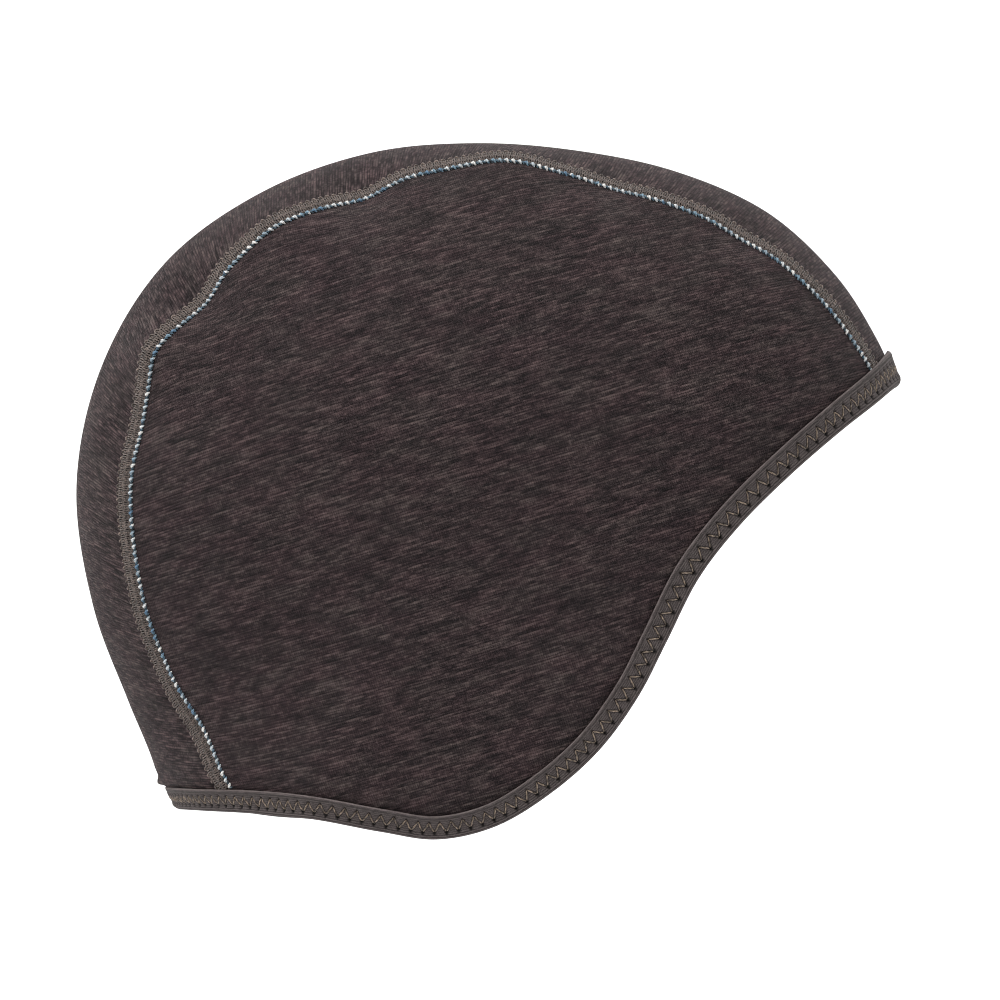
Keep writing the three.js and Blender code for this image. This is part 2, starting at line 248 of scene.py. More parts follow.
def seam_point(angle):
    """The right seam's middle line, by the angle about the ear-to-ear axis"""
    y = read(STRIP, "angle", "half", angle) * CAP_WIDTH
    reach = (1 - (y / HALF_WIDTH) ** FULLNESS) ** (1 / FULLNESS)
    point = turned_to(angle, reach * reach_at(angle))
    point[..., 1] = -y
    return point


def beside_seam(angle, across):
    """A line beside the right seam, towards its side panel if across is more than 0"""
    point = seam_point(angle)
    sideways = unit(np.cross(outwards(point), seam_point(angle + 1) - seam_point(angle - 1)))
    return onto_form(point + sideways * np.asarray(across)[..., None])


def pucker(p, inset):
    """How far the seams' puckers push the cloth in"""
    angle = angle_of(p[..., 0], p[..., 2])
    mirrored = np.stack([p[..., 0], -np.abs(p[..., 1]), p[..., 2]], axis=-1)
    beside = length(mirrored - seam_point(angle))[..., 0]
    rows = zip(PUCKERS["angle"], PUCKERS["depth"], PUCKERS["spread"])
    depth = sum(depth * np.exp(-(((angle - at) / spread) ** 2)) for at, depth, spread in rows)
    clear = smoothstep(0, 2 * BINDING_DEPTH, inset)
    return PUCKER_DEPTH * depth * clear * np.exp(-((beside / PUCKER_REACH) ** 2))


def tuck(along, inset):
    """How far the elastic edge draws the cloth in"""
    bent = np.maximum(TUCK_REACH - np.maximum(inset, BINDING_DEPTH), 0) ** 2 / (2 * TUCK_BEND)
    leaning = np.maximum(BINDING_DEPTH - inset, 0)
    drawn = (bent + leaning) / (TUCK_BEND / 2 + BINDING_DEPTH)
    return TUCK_DEPTH * drawn * read(TUCK, "along", "share", along)


def sewn(p):
    along, inset = from_hem(p)
    return p - outwards(p) * (tuck(along, inset) + pucker(p, inset))[..., None]


def sew(p):
    """Points of the form as sewn, on the cloth's outer face, and the way out of the cloth there"""
    normal = outwards(p)
    level_way = np.stack([-normal[..., 1], normal[..., 0], 0 * normal[..., 0]], axis=-1)
    forwards = unit(np.where(length(level_way) < PROBE, np.cross([0, 1, 0], normal), level_way))
    slopes = [
        sewn(onto_form(p + way * PROBE)) - sewn(onto_form(p - way * PROBE))
        for way in (forwards, np.cross(normal, forwards))
    ]
    return sewn(p), unit(np.cross(*slopes))


def crossing(line_at, height, higher, lower):
    """Where a line comes down to a height above the edge"""
    for _ in range(CROSSING_PASSES):
        middle = (higher + lower) / 2
        if from_hem(line_at(np.array([middle])))[1][0] > height:
            higher = middle
        else:
            lower = middle
    return higher


def ends_of(line_at, at_front, at_nape):
    """The angles at which a line comes down to one height above the edge at the front, and to
    another at the nape"""
    overhead = (STRIP["angle"][0] + STRIP["angle"][-1]) / 2
    return [
        crossing(line_at, at_front, overhead, STRIP["angle"][0] - PAST_RIM),
        crossing(line_at, at_nape, overhead, STRIP["angle"][-1] + PAST_RIM),
    ]


# Meshes. Each starts as a flat grid, and its points are placed by their two shares of the way over it.
MERGE = 1e-6  # metres


def laid_grid(name, columns, rows, place, inside_out=False, closed=False):
    """place is given shares across and along the grid, and gives points and the pattern's
    coordinates, in millimetres."""
    bm = bmesh.new()
    bmesh.ops.create_grid(bm, x_segments=columns, y_segments=rows, size=0.5)
    shares = np.array([v.co[:2] for v in bm.verts]) + 0.5
    points, pattern = place(shares[:, 0], shares[:, 1])
    for vert, point in zip(bm.verts, (points + TO_FRAME) * MM):
        vert.co = point
    bm.verts.index_update()
    layer = bm.loops.layers.uv.new("UVMap")
    for face in bm.faces:
        face.smooth = True
        for loop in face.loops:
            loop[layer].uv = pattern[loop.vert.index]
    if inside_out:
        bmesh.ops.reverse_faces(bm, faces=bm.faces)
    if closed:
        bmesh.ops.remove_doubles(bm, verts=bm.verts, dist=MERGE)
        bmesh.ops.dissolve_degenerate(bm, edges=bm.edges, dist=MERGE / 10)
        bmesh.ops.recalc_face_normals(bm, faces=bm.faces)
    mesh = bpy.data.meshes.new(name)
    bm.to_mesh(mesh)
    bm.free()
    piece = bpy.data.objects.new(name, mesh)
    bpy.context.scene.collection.objects.link(piece)
    return piece


def dress(piece, material, nodes=()):
    """Gives a piece its finish, sets it under the root and hides the imported nodes that it stands for."""
    piece.data.materials.append(material)
    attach(piece, "root")
    if nodes:
        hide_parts(*nodes)
    return piece


SIDES = {"right": 1, "left": -1}


def on_that_side(points, side):
    return points * [1, side, 1]


# Shaders
class Value:
    """A shader value that sums and products are written with."""

    def __init__(self, finish, socket):
        self.finish = finish
        self.socket = socket

    def maths(self, operation, *values):
        return self.finish.node("ShaderNodeMath", {"operation": operation}, dict(enumerate(values)))

    def __add__(self, other):
        return self.maths("ADD", self, other)

    def __sub__(self, other):
        return self.maths("SUBTRACT", self, other)

    def __rsub__(self, other):
        return self.maths("SUBTRACT", other, self)

    def __mul__(self, other):
        return self.maths("MULTIPLY", self, other)

    def __truediv__(self, other):
        return self.maths("DIVIDE", self, other)

    def __pow__(self, other):
        return self.maths("POWER", self, other)

    def floor(self):
        return self.maths("FLOOR", self)

    def fraction(self):
        return self.maths("FRACT", self)

    def ridge(self):
        """A row of round ridges, one in each whole number"""
        return self.maths("ABSOLUTE", self.maths("SINE", self * math.pi))

    def zigzag(self):
        """From 0 up to 1 and back in straight lines, once in each whole number"""
        return self.maths("PINGPONG", self, 0.5) * 2

    def size(self):
        return self.maths("ABSOLUTE", self)

    __radd__ = __add__
    __rmul__ = __mul__


SHEEN_SPREAD = 0.45


class Finish:
    """A material's nodes, with one method that adds any of them."""

    def __init__(self, name, roughness, sheen, sheen_colour, gloss=0.25):
        self.material = bpy.data.materials.new(name)
        self.material.use_nodes = True
        self.tree = self.material.node_tree
        self.shader = self.tree.nodes["Principled BSDF"]
        self.shader.inputs["Roughness"].default_value = roughness
        self.shader.inputs["Specular IOR Level"].default_value = gloss
        self.shader.inputs["Sheen Weight"].default_value = sheen
        self.shader.inputs["Sheen Roughness"].default_value = SHEEN_SPREAD
        self.shader.inputs["Sheen Tint"].default_value = (*sheen_colour, 1)

    def node(self, kind, settings=None, sockets=None, out=0):
        node = self.tree.nodes.new(kind)
        for name, value in (settings or {}).items():
            if name == "stops":
                self.set_stops(node.color_ramp, *value)
            else:
                setattr(node, name, value)
        for name, value in (sockets or {}).items():
            self.join(value, self.socket_of(node.inputs, name))
        return Value(self, self.socket_of(node.outputs, out))

    def socket_of(self, sockets, name):
        if isinstance(name, int):
            return sockets[name]
        return next(s for s in sockets if name in (s.identifier, s.name))

    def set_stops(self, ramp, stops, steps):
        ramp.interpolation = steps
        while len(ramp.elements) < len(stops):
            ramp.elements.new(1)
        for element, (position, colour) in zip(ramp.elements, stops):
            element.position = position
            element.color = (*colour, 1)

    def join(self, value, socket):
        if isinstance(value, Value):
            self.tree.links.new(value.socket, socket)
        else:
            socket.default_value = value

    def pattern(self):
        """The piece's own two coordinates, in millimetres"""
        uv = self.node("ShaderNodeUVMap", {"uv_map": "UVMap"})
        split = self.node("ShaderNodeSeparateXYZ", {}, {"Vector": uv}).socket.node
        return Value(self, split.outputs["X"]), Value(self, split.outputs["Y"])

    def noise(self, x, y, detail=2.0, roughness=0.5):
        """Soft noise with about one lump in each whole number of x and of y"""
        at = self.node("ShaderNodeCombineXYZ", {}, {"X": x, "Y": y})
        settings = {"noise_dimensions": "2D"}
        sockets = {"Vector": at, "Scale": 1.0, "Detail": detail, "Roughness": roughness}
        return self.node("ShaderNodeTexNoise", settings, sockets)

    def scatter(self, x, y):
        """An even random value for each whole number of x and y"""
        at = self.node("ShaderNodeCombineXYZ", {}, {"X": x.floor(), "Y": y.floor()})
        return self.node("ShaderNodeTexWhiteNoise", {"noise_dimensions": "2D"}, {"Vector": at})

    def ramp(self, factor, stops, steps="LINEAR"):
        return self.node("ShaderNodeValToRGB", {"stops": (stops, steps)}, {"Fac": factor})

    def mixed(self, factor, a, b, way="MIX"):
        settings = {"data_type": "RGBA", "blend_type": way}
        sockets = {"Factor_Float": factor, "A_Color": a, "B_Color": b}
        return self.node("ShaderNodeMix", settings, sockets, out="Result_Color")

    def finish(self, colour, height, depth_mm):
        """Sets what varies over the surface: its colour, and its relief as a height from 0 to 1"""
        bump = self.node("ShaderNodeBump", {}, {"Height": height, "Distance": depth_mm * MM})
        self.join(colour, self.shader.inputs["Base Color"])
        self.join(bump, self.shader.inputs["Normal"])
        return self.material


def srgb(code):
    """A colour's linear red, green and blue, from its six hexadecimal digits"""
    shares = [int(code[i : i + 2], 16) / 255 for i in (0, 2, 4)]
    return tuple(s / 12.92 if s <= 0.04045 else ((s + 0.055) / 1.055) ** 2.4 for s in shares)


WALE = 0.57  # mm between the columns of knit loops
COURSE = 0.72  # mm between the rows

# The heather's parts: how long and how thick each is in millimetres, and its share. A yarn is one
# row of loops thick, and ROW_STEPS keep the yarns of two rows from being alike.
YARN = {"long": 5.5, "share": 0.6}
FINE = {"long": 6.0, "thick": 0.38, "share": 0.4}
STREAK = {"long": 13.0, "thick": 1.0, "share": 0.22}
CLOUD = {"long": 26.0, "thick": 9.0, "share": 0.14}
GRAIN_SHARE = 0.11
ROW_STEPS = 17.31, 5.17
HEATHER_SPAN = 0.13  # how far from the middle the darkest yarn lies, of what the parts make
PALE_SPAN = 1.25  # how far the palest yarn lies, of the same
LOOP_WAVE = 0.15  # how far the rows of loops swing, of their height

# Where the cloth is a little redder and a little greener, and the painted shade between its loops and
# painted highlight on them
HUE_PATCH = {"long": 14, "thick": 5}
HUES = [(0.35, (1.04, 0.98, 1.0)), (0.65, (0.96, 1.02, 0.99))]
LOOP_PAINTED_SHADE = [(0.0, (0.22, 0.22, 0.22)), (0.8, (1.14, 1.14, 1.14))]


def knit(name, dark, middle, light, span=HEATHER_SPAN, wale_share=0.42):
    """A fine heathered jersey. Its first coordinate runs along the rows of loops, and its second
    across them."""
    f = Finish(name, roughness=0.9, sheen=0.05, sheen_colour=srgb("b9a4a4"), gloss=0.12)
    along, up = f.pattern()
    wale = along / WALE
    course = up / COURSE + wale.ridge() * LOOP_WAVE
    row = course.floor()
    yarn = f.noise(along / YARN["long"] + row * ROW_STEPS[0], row * ROW_STEPS[1], roughness=0.6)
    heather = yarn * YARN["share"] + f.scatter(wale, course) * GRAIN_SHARE
    for part in (FINE, STREAK, CLOUD):
        heather += f.noise(along / part["long"], up / part["thick"], roughness=0.6) * part["share"]
    heather *= 1 / (GRAIN_SHARE + sum(part["share"] for part in (YARN, FINE, STREAK, CLOUD)))
    colour = f.ramp(heather, [(0.5 - span, dark), (0.5, middle), (0.5 + PALE_SPAN * span, light)])
    hue = f.noise(along / HUE_PATCH["long"], up / HUE_PATCH["thick"])
    colour = f.mixed(1.0, colour, f.ramp(hue, HUES), "MULTIPLY")
    loops = wale.ridge() * wale_share + course.fraction().ridge() * (1 - wale_share)
    # painted shade between the loops, and a painted highlight on their tops
    colour = f.mixed(1.0, colour, f.ramp(loops, LOOP_PAINTED_SHADE), "MULTIPLY")
    return f.finish(colour, loops + yarn * 0.3, depth_mm=0.13)


# How a sewing thread's tone changes along it, from stitch to stitch
THREAD_PATCH = 1.1  # mm long
THREAD_TONES = [(0.35, (0.35, 0.33, 0.32)), (0.62, (1.2, 1.15, 1.12))]


def yarn_thread(name, colour, ply_groove_shade, twist_mm=0.9):
    """A plied thread. Its first coordinate runs round it and its second along it."""
    f = Finish(name, roughness=0.62, sheen=0.15, sheen_colour=(1, 1, 1))
    around, along = f.pattern()
    ply = (along / twist_mm + around * 2).fraction().ridge()
    worn = f.noise(along / 1.3, around * 2, detail=3.0)
    # painted shade: the colour darkens to the second colour in the grooves between the plies, varying at
    # random along the thread
    shade = f.ramp(ply * 0.7 + worn * 0.5, [(0.1, ply_groove_shade), (0.8, colour)])
    tone = f.ramp(f.noise(along / THREAD_PATCH, along / 7), THREAD_TONES)
    return f.finish(f.mixed(1.0, shade, tone, "MULTIPLY"), ply, depth_mm=0.07)


STITCH = 1.7  # mm between the seam's stitches

# The accent thread's colours, each for the random values from its number up to the next
ACCENTS = [
    (0.0, "adb4b8"), (0.22, "85949e"), (0.4, "557086"), (0.52, "c4c6c6"),
    (0.68, "6f8796"), (0.78, "d4d2ce"), (0.92, "989fa2"),
]
# Painted shade in the grooves between the accent thread's plies
ACCENT_PLY_PAINTED_SHADE = [(0.0, (0.33, 0.36, 0.4)), (0.7, (0.92, 0.92, 0.92))]


def accent_thread(name):
    """A thread whose colour changes from stitch to stitch, from white to light blue, with painted shade
    between its plies
    """
    f = Finish(name, roughness=0.6, sheen=0.1, sheen_colour=(1, 1, 1))
    around, along = f.pattern()
    stitch = f.scatter(along / STITCH, around * 0)
    colour = f.ramp(stitch, [(position, srgb(code)) for position, code in ACCENTS], "CONSTANT")
    ply = (along / 0.8 + around * 2).fraction().ridge()
    # painted shade between the plies
    shade = f.ramp(ply, ACCENT_PLY_PAINTED_SHADE)
    return f.finish(f.mixed(1.0, colour, shade, "MULTIPLY"), ply, depth_mm=0.08)


BINDING_RIB = 0.55  # mm between the tape's lengthwise ribs
PICK = 0.42  # mm between its crosswise threads
ZIGZAG_LOW = 2.2  # mm above the fold
ZIGZAG_TALL = 2.8
ZIGZAG_STEP = 3.4  # mm of the tape's pattern that each zigzag takes
TAPE_RAMP = 10.0  # mm up the tape that a ramp's whole length stands for

# How strong and how dark the painted shade between the ribs is, with a painted highlight on them, the
# painted shade under the tape's upper edge and the painted highlight along it, by millimetres from the
# fold, and how dark the painted shadow in the groove along the zigzag and the painted shade in the holes at
# its tips are, by millimetres from them
FOLD_RIBS = [(1.6, 1.0), (2.1, 0.15)]
RIB_PAINTED_SHADE = [(0.0, (0.3, 0.3, 0.3)), (0.7, (1.15, 1.15, 1.15))]
EDGE_PAINTED_SHADE_AND_HIGHLIGHT = [(6.0, 1.0), (6.15, 0.55), (6.4, 0.6), (6.5, 1.45)]
GROOVE_PAINTED_SHADOW = [(0.35, (0.22, 0.2, 0.19)), (1.1, (1, 1, 1))]
HOLE_PAINTED_SHADE = [(0.25, (0.1, 0.09, 0.09)), (0.75, (1, 1, 1))]


def up_the_tape(f, up, shades):
    """Greys by millimetres up the tape"""
    return f.ramp(up / TAPE_RAMP, [(at / TAPE_RAMP, (shade, shade, shade)) for at, shade in shades])


def tape(name, dark, light):
    """The binding's elastic tape. Its first coordinate runs along it, in step with the zigzag, and
    its second across it from the fold."""
    f = Finish(name, roughness=0.85, sheen=0.05, sheen_colour=srgb("b9b0a6"), gloss=0.18)
    along, up = f.pattern()
    rib = (up / BINDING_RIB).fraction().ridge()
    pick = (along / PICK + (up / BINDING_RIB).floor() * 0.5).fraction().ridge()
    fleck = f.noise(along / 2.2, up / 0.35, detail=3.0, roughness=0.6)
    # the tape is darker between its ribs and picks, which is painted shade, and flecked at random in its
    # own tones
    colour = f.ramp(fleck * 0.6 + rib * 0.25 + pick * 0.15, [(0.25, dark), (0.75, light)])
    # painted shade between the ribs and a painted highlight on them, strongest near the fold
    rib_shaded = f.mixed(1.0, colour, f.ramp(rib, RIB_PAINTED_SHADE), "MULTIPLY")
    colour = f.mixed(up_the_tape(f, up, FOLD_RIBS), colour, rib_shaded)
    # painted shade just under the tape's upper edge and a painted highlight along it
    colour = f.mixed(1.0, colour, up_the_tape(f, up, EDGE_PAINTED_SHADE_AND_HIGHLIGHT), "MULTIPLY")
    share = (along / ZIGZAG_STEP).fraction().zigzag()
    beside = (up - ZIGZAG_LOW - share * ZIGZAG_TALL).size()
    # painted shadow along the groove that the zigzag lies in
    colour = f.mixed(1.0, colour, f.ramp(beside, GROOVE_PAINTED_SHADOW), "MULTIPLY")
    off = ((up - ZIGZAG_LOW) ** 2 + (share * (ZIGZAG_STEP / 2)) ** 2) ** 0.5
    # painted shade in the holes at the zigzag's tips
    colour = f.mixed(1.0, colour, f.ramp(off, HOLE_PAINTED_SHADE), "MULTIPLY")
    return f.finish(colour, rib * 0.6 + pick * 0.3 + fleck * 0.2, depth_mm=0.12)


side_knit = knit("side_knit", srgb("151112"), srgb("282021"), srgb("463b3a"))
centre_knit = knit(
    "centre_knit", srgb("151011"), srgb("292122"), srgb("483d3c"), span=0.095, wale_share=0.25
)
seam_knit = knit("seam_knit", srgb("0d0b0b"), srgb("161313"), srgb("241f1d"))
# Each thread's second colour is the painted shade in the grooves between its plies
seam_thread = yarn_thread("seam_thread", srgb("685d57"), srgb("181414"))
needle_thread = yarn_thread("needle_thread", srgb("5a504b"), srgb("191615"))
zigzag_thread = yarn_thread("zigzag_thread", srgb("7a6d60"), srgb("1f1a16"), twist_mm=1.3)
accent_under = yarn_thread("accent_under", srgb("3f5563"), srgb("12181c"))
accent = accent_thread("accent_thread")
binding_tape = tape("binding_tape", srgb("1f1b1b"), srgb("4a4342"))


# Panels
PANEL_COLUMNS = 200
PANEL_ROWS = 96
STRIP_COLUMNS = 48
STRIP_ROWS = 400
PANEL_LEAD = 0.3  # share of a row's length over which it keeps square to the edge
UNDER_SEAM = 0.6  # how far short of the seam's middle the panels' cut edges lie
STREAK_TILT = 17  # degrees that the side panel's streaks rise to the front
NEAR_THE_EDGE = 1.4  # above 1, rows lie closer together near the open edge
OVERHANG = {"height": 1.25, "up": 7.75, "spread": 1.0, "from": 0.88}  # mm, and a share of the edge
ACROSS_THE_STRIP = 1.3  # above 1, the strip's streaks are shorter than the side panels'
DEPTH_SAMPLES = 400  # places that the side's round is measured at

# How many of the outline's points lie on the cap
AROUND_THE_BACK = PROFILE_POINTS * len(OUTLINE) // (len(OUTLINE) + len(BELOW_THE_CAP))

# Millimetres that the left panel's pattern is shifted, so that it doesn't mirror the right one's
LEFT_PATTERN = 900


def overhang(p):
    """The roll of cloth that hangs over the binding at the nape"""
    along, inset = from_hem(p)
    beside = np.exp(-(((inset - OVERHANG["up"]) / OVERHANG["spread"]) ** 2))
    return OVERHANG["height"] * beside * smoothstep(OVERHANG["from"], 1, along)


def outer_face(p):
    """The outer face of the panels' cloth"""
    on, out = sew(p)
    return on + out * overhang(p)[..., None]


def unrolled(p):
    """The side panel's points laid out flat about the middle of the side, along its streaks and
    across them"""
    angle = angle_of(p[..., 0], p[..., 2])
    reach = reach_at(angle)
    share = np.minimum(np.hypot(p[..., 0], p[..., 2]) / reach, 1)
    shares = np.linspace(0, 1, DEPTH_SAMPLES)
    depths = HALF_WIDTH / reach.mean() * (1 - shares**FULLNESS) ** (1 / FULLNESS)
    lengths = np.concatenate([[0], np.cumsum(np.hypot(np.diff(shares), np.diff(depths)))])
    turn = np.radians(angle - STREAK_TILT)
    away = np.interp(share, shares, lengths) * reach
    return np.stack([away * np.cos(turn), away * np.sin(turn)], axis=-1)


def side_panel(name, side):
    """One side's cloth, in rows from the open edge up to the seam"""
    def seam_edge(angle):
        return beside_seam(angle, np.full_like(angle, UNDER_SEAM))

    corners = ends_of(seam_edge, EDGE_INSET, EDGE_INSET)
    front, nape = from_hem(seam_edge(np.array(corners)))[0]

    def place(across, along):
        bottom, _, up = hem_place(blend(front, nape, across))
        bottom = onto_form(bottom + up * EDGE_INSET)
        top = seam_edge(blend(*corners, across))
        lead = bottom + up * PANEL_LEAD * length(top - bottom)
        t = (along**NEAR_THE_EDGE)[:, None]
        curve = bottom * (1 - t) ** 2 + lead * 2 * t * (1 - t) + top * t**2
        p = on_side(curve[:, 0], curve[:, 2])
        shift = LEFT_PATTERN if side < 0 else 0
        return on_that_side(outer_face(p), side), unrolled(p) + shift

    return laid_grid(name, PANEL_COLUMNS, PANEL_ROWS, place, inside_out=side > 0)


def centre_panel(name):
    """The strip's cloth, in rows from the forehead over the crown to the nape"""
    def seam_edge(angle):
        return beside_seam(angle, np.full_like(angle, -UNDER_SEAM))

    ends = ends_of(lambda angle: turned_to(angle, reach_at(angle)), EDGE_INSET, EDGE_INSET)
    side_ends = ends_of(seam_edge, EDGE_INSET, EDGE_INSET)

    def place(across, along):
        share = 2 * across - 1
        spans = [blend(middle, side, share**2) for middle, side in zip(ends, side_ends)]
        down = 0.5 - 0.5 * np.cos(math.pi * along)  # rows lie closer together near the open edge
        angle = blend(*spans, down)
        middle = turned_to(angle, reach_at(angle))
        edge = seam_edge(angle)
        flat = middle + (edge - middle) * (share**2)[:, None]
        p = on_side(flat[:, 0], flat[:, 2])
        p[:, 1] *= -np.sign(share)
        rows = np.interp(
            blend(*ends, down), outline_angles[:AROUND_THE_BACK], outline_lengths[:AROUND_THE_BACK]
        )
        return outer_face(p), np.stack([p[:, 1] * ACROSS_THE_STRIP, rows], axis=-1)

    return laid_grid(name, STRIP_COLUMNS, STRIP_ROWS, place)


def thicken(piece, thickness):
    """Gives a sheet its inner face."""
    wall = piece.modifiers.new("wall", "SOLIDIFY")
    wall.thickness = thickness * MM
    wall.offset = -1
    wall.use_even_offset = True
    return piece


panels = {}
for side, sign in SIDES.items():
    piece = thicken(side_panel(f"side_panel_cloth_{side}", sign), CLOTH)
    panels[side] = dress(piece, side_knit, [f"side_panel_{side}"])
panels["centre"] = thicken(centre_panel("centre_panel_cloth"), CLOTH)
dress(panels["centre"], centre_knit, ["centre_panel"])


# Seams: a raised band over the panels' cut edges, and the threads that hold it
BAND_COLUMNS = 20
BAND_ROWS = 560
BAND_SUNK = 0.15  # how far the band's two edges lie under the cloth's face
BAND_SLOPE = 0.9  # width of the slope along each edge
STITCH_STEPS = 6  # points of a thread for each stitch
THREAD_END = 4  # points over which a thread's end thins to a tip

# The needle threads' places across the seam, with the side panel's side above 0
NEEDLE_ROWS = {"side": 2.75, "inner": 0.95, "middle": -0.75, "outer": -2.45}
ROW_DENT = {"depth": 0.2, "width": 0.4, "under": 0.7, "swing": 0.3}
STITCH_SLANT = 0.22  # how far a needle thread strays to each side
THINNEST = 0.45  # of a needle thread, where it dips into the band
COVER_SWING = 2.5
COVER_LIFT = {"height": 0.08, "swing": 0.12}

# How high above the edge the threads go under the binding, at the front and the nape
THREAD_ENDS = 7.3, 5.6
seam_ends = ends_of(seam_point, *THREAD_ENDS)
band_ends = ends_of(seam_point, EDGE_INSET, EDGE_INSET)
seam_angles = np.linspace(*band_ends, SEAM_POINTS)
seam_lengths = np.concatenate([[0], np.cumsum(length(np.diff(seam_point(seam_angles), axis=0)))])
first_stitch, last_stitch = np.interp(seam_ends, seam_angles, seam_lengths)
STITCHES = round((last_stitch - first_stitch) / STITCH)


def seam_angle(stitch):
    """The angle at which a stitch lies, counted from the front"""
    return np.interp(first_stitch + stitch * STITCH, seam_lengths, seam_angles)


def band_height(across, stitch):
    """How far the band stands off the cloth's outer face, with a dent along each row of needle thread"""
    rise = blend(-BAND_SUNK, SEAM_RISE, smoothstep(0, BAND_SLOPE, SEAM_WIDTH / 2 - np.abs(across)))
    dents = sum(np.exp(-(((across - row) / ROW_DENT["width"]) ** 2)) for row in NEEDLE_ROWS.values())
    deeper = ROW_DENT["under"] - ROW_DENT["swing"] * np.cos(2 * math.pi * stitch)
    return rise - ROW_DENT["depth"] * dents * deeper


def seam_band(name, side):
    """The band's outer face, in rows along the seam"""
    def place(across, along):
        sideways = blend(SEAM_WIDTH / 2, -SEAM_WIDTH / 2, across)
        at = along * seam_lengths[-1]
        angle = np.interp(at, seam_lengths, seam_angles)
        on, out = sew(beside_seam(angle, sideways))
        height = band_height(sideways, (at - first_stitch) / STITCH)
        return on_that_side(on + out * height[:, None], side), np.stack([sideways, at], axis=-1)

    return laid_grid(name, BAND_COLUMNS, BAND_ROWS, place, inside_out=side < 0)


def thread(name, path, out, radius, sides, side=1):
    """A strip of faces as long as the path, rolled up round it. Its ends thin to a tip."""
    ahead = unit(np.gradient(path, axis=0))
    beside = unit(np.cross(ahead, out))
    up = np.cross(beside, ahead)
    run = np.concatenate([[0], np.cumsum(length(np.diff(path, axis=0)))])
    last = len(path) - 1
    steps = np.arange(last + 1)
    thick = radius * np.clip(np.minimum(steps, last - steps) / THREAD_END, 0, 1) ** 0.5

    def place(around, share):
        i = np.rint(share * last).astype(int)
        turn = 2 * math.pi * around[:, None]
        ring = beside[i] * np.cos(turn) + up[i] * np.sin(turn)
        return on_that_side(path[i] + ring * thick[i, None], side), np.stack([around, run[i]], axis=-1)

    return laid_grid(name, sides, last, place, closed=True)


def row_thread(across, lift, sink, thickness, inward=False, phase=0):
    """A row of needle thread: it lies on the band for most of each stitch and dips into it between them"""
    stitch = np.arange(STITCHES * STITCH_STEPS + 1) / STITCH_STEPS
    turn = 2 * math.pi * (stitch + phase)
    sideways = across + STITCH_SLANT * np.sin(turn)
    on, out = sew(beside_seam(seam_angle(stitch), sideways))
    hump = 0.5 - 0.5 * np.cos(turn)
    height = SEAM_RISE + blend(-sink, lift, hump)
    if inward:
        height = -CLOTH - height
    return on + out * height[:, None], out, thickness * blend(THINNEST, 1, hump)


def cover_thread(phase, thickness, inward=False):
    """A looper thread that crosses the whole seam and back in each stitch"""
    stitch = np.arange(STITCHES * STITCH_STEPS + 1) / STITCH_STEPS
    turn = 2 * math.pi * (stitch + phase)
    sideways = COVER_SWING * np.sin(turn)
    on, out = sew(beside_seam(seam_angle(stitch), sideways))
    over = SEAM_RISE + COVER_LIFT["height"] + COVER_LIFT["swing"] * np.cos(4 * turn)
    height = -CLOTH - over if inward else over
    return on + out * height[:, None], out, thickness + 0 * stitch


# Each thread's path, finish and number of sides. A row has its place across the seam, how far it lifts
# and sinks, and its thickness, and a cover thread has its phase and its thickness.
SEAM_THREADS = {
    "accent": (row_thread(NEEDLE_ROWS["side"], 0.3, 0.75, 0.4), accent, 6),
    "accent_under": (row_thread(NEEDLE_ROWS["side"], 0.1, 0.6, 0.3, phase=0.5), accent_under, 4),
    "needle_inner": (row_thread(NEEDLE_ROWS["inner"], 0.24, 0.5, 0.28), needle_thread, 5),
    "needle_middle": (row_thread(NEEDLE_ROWS["middle"], 0.24, 0.5, 0.28), needle_thread, 5),
    "needle_outer": (row_thread(NEEDLE_ROWS["outer"], 0.28, 0.5, 0.32), seam_thread, 5),
    "cover_first": (cover_thread(0, 0.14), seam_thread, 4),
    "cover_second": (cover_thread(1 / 3, 0.14), needle_thread, 4),
    "cover_third": (cover_thread(2 / 3, 0.14), seam_thread, 4),
    "inside_row": (row_thread(NEEDLE_ROWS["side"], 0.26, 0.35, 0.28, inward=True), needle_thread, 4),
    "inside_far_row": (row_thread(NEEDLE_ROWS["outer"], 0.26, 0.35, 0.28, inward=True), needle_thread, 4),
    "inside_cover": (cover_thread(0.25, 0.19, inward=True), seam_thread, 4),
}

seams = {}
for side, sign in SIDES.items():
    band = thicken(seam_band(f"seam_band_{side}", sign), CLOTH + 2 * SEAM_RISE)
    seams[side] = [dress(band, seam_knit, [f"flatlock_seam_{side}"])]
    for kind, ((path, out, thickness), finish, sides) in SEAM_THREADS.items():
        piece = thread(f"seam_{kind}_{side}", path, out, thickness, sides, sign)
        seams[side].append(dress(piece, finish))


# The binding: a tape folded over the open edge, and the zigzag that holds it. Heights up it are in
# millimetres from the fold, and places along it run from the front at 0 to the nape at 1.
BINDING_COLUMNS = 1500
ZIGZAG_PITCH = {"along": [0, 0.3, 0.55, 0.8, 1], "pitch": [3.4, 3.7, 3.3, 3.1, 3.1]}
ZIGZAG_RADIUS = 0.19
ZIGZAG_STEPS = 7  # points of the thread for each leg
LEG_BOW = -0.25, 0.15  # how far the thread stands off the tape at a leg's ends and at its middle
LEG_THIN = 0.75  # of the thread's radius at a leg's ends
GROOVE = {"depth": 0.24, "width": 0.4}  # along the zigzag
HOLE = {"depth": 0.35, "width": 0.5}  # at its tips
LIP = 0.4  # the round of each edge of the tape
FACE_ROWS = {"outer": 27, "inner": 15}  # of the tape's section, from the fold to the edge
FOLD_ROWS = 11
LIP_ROWS = 6

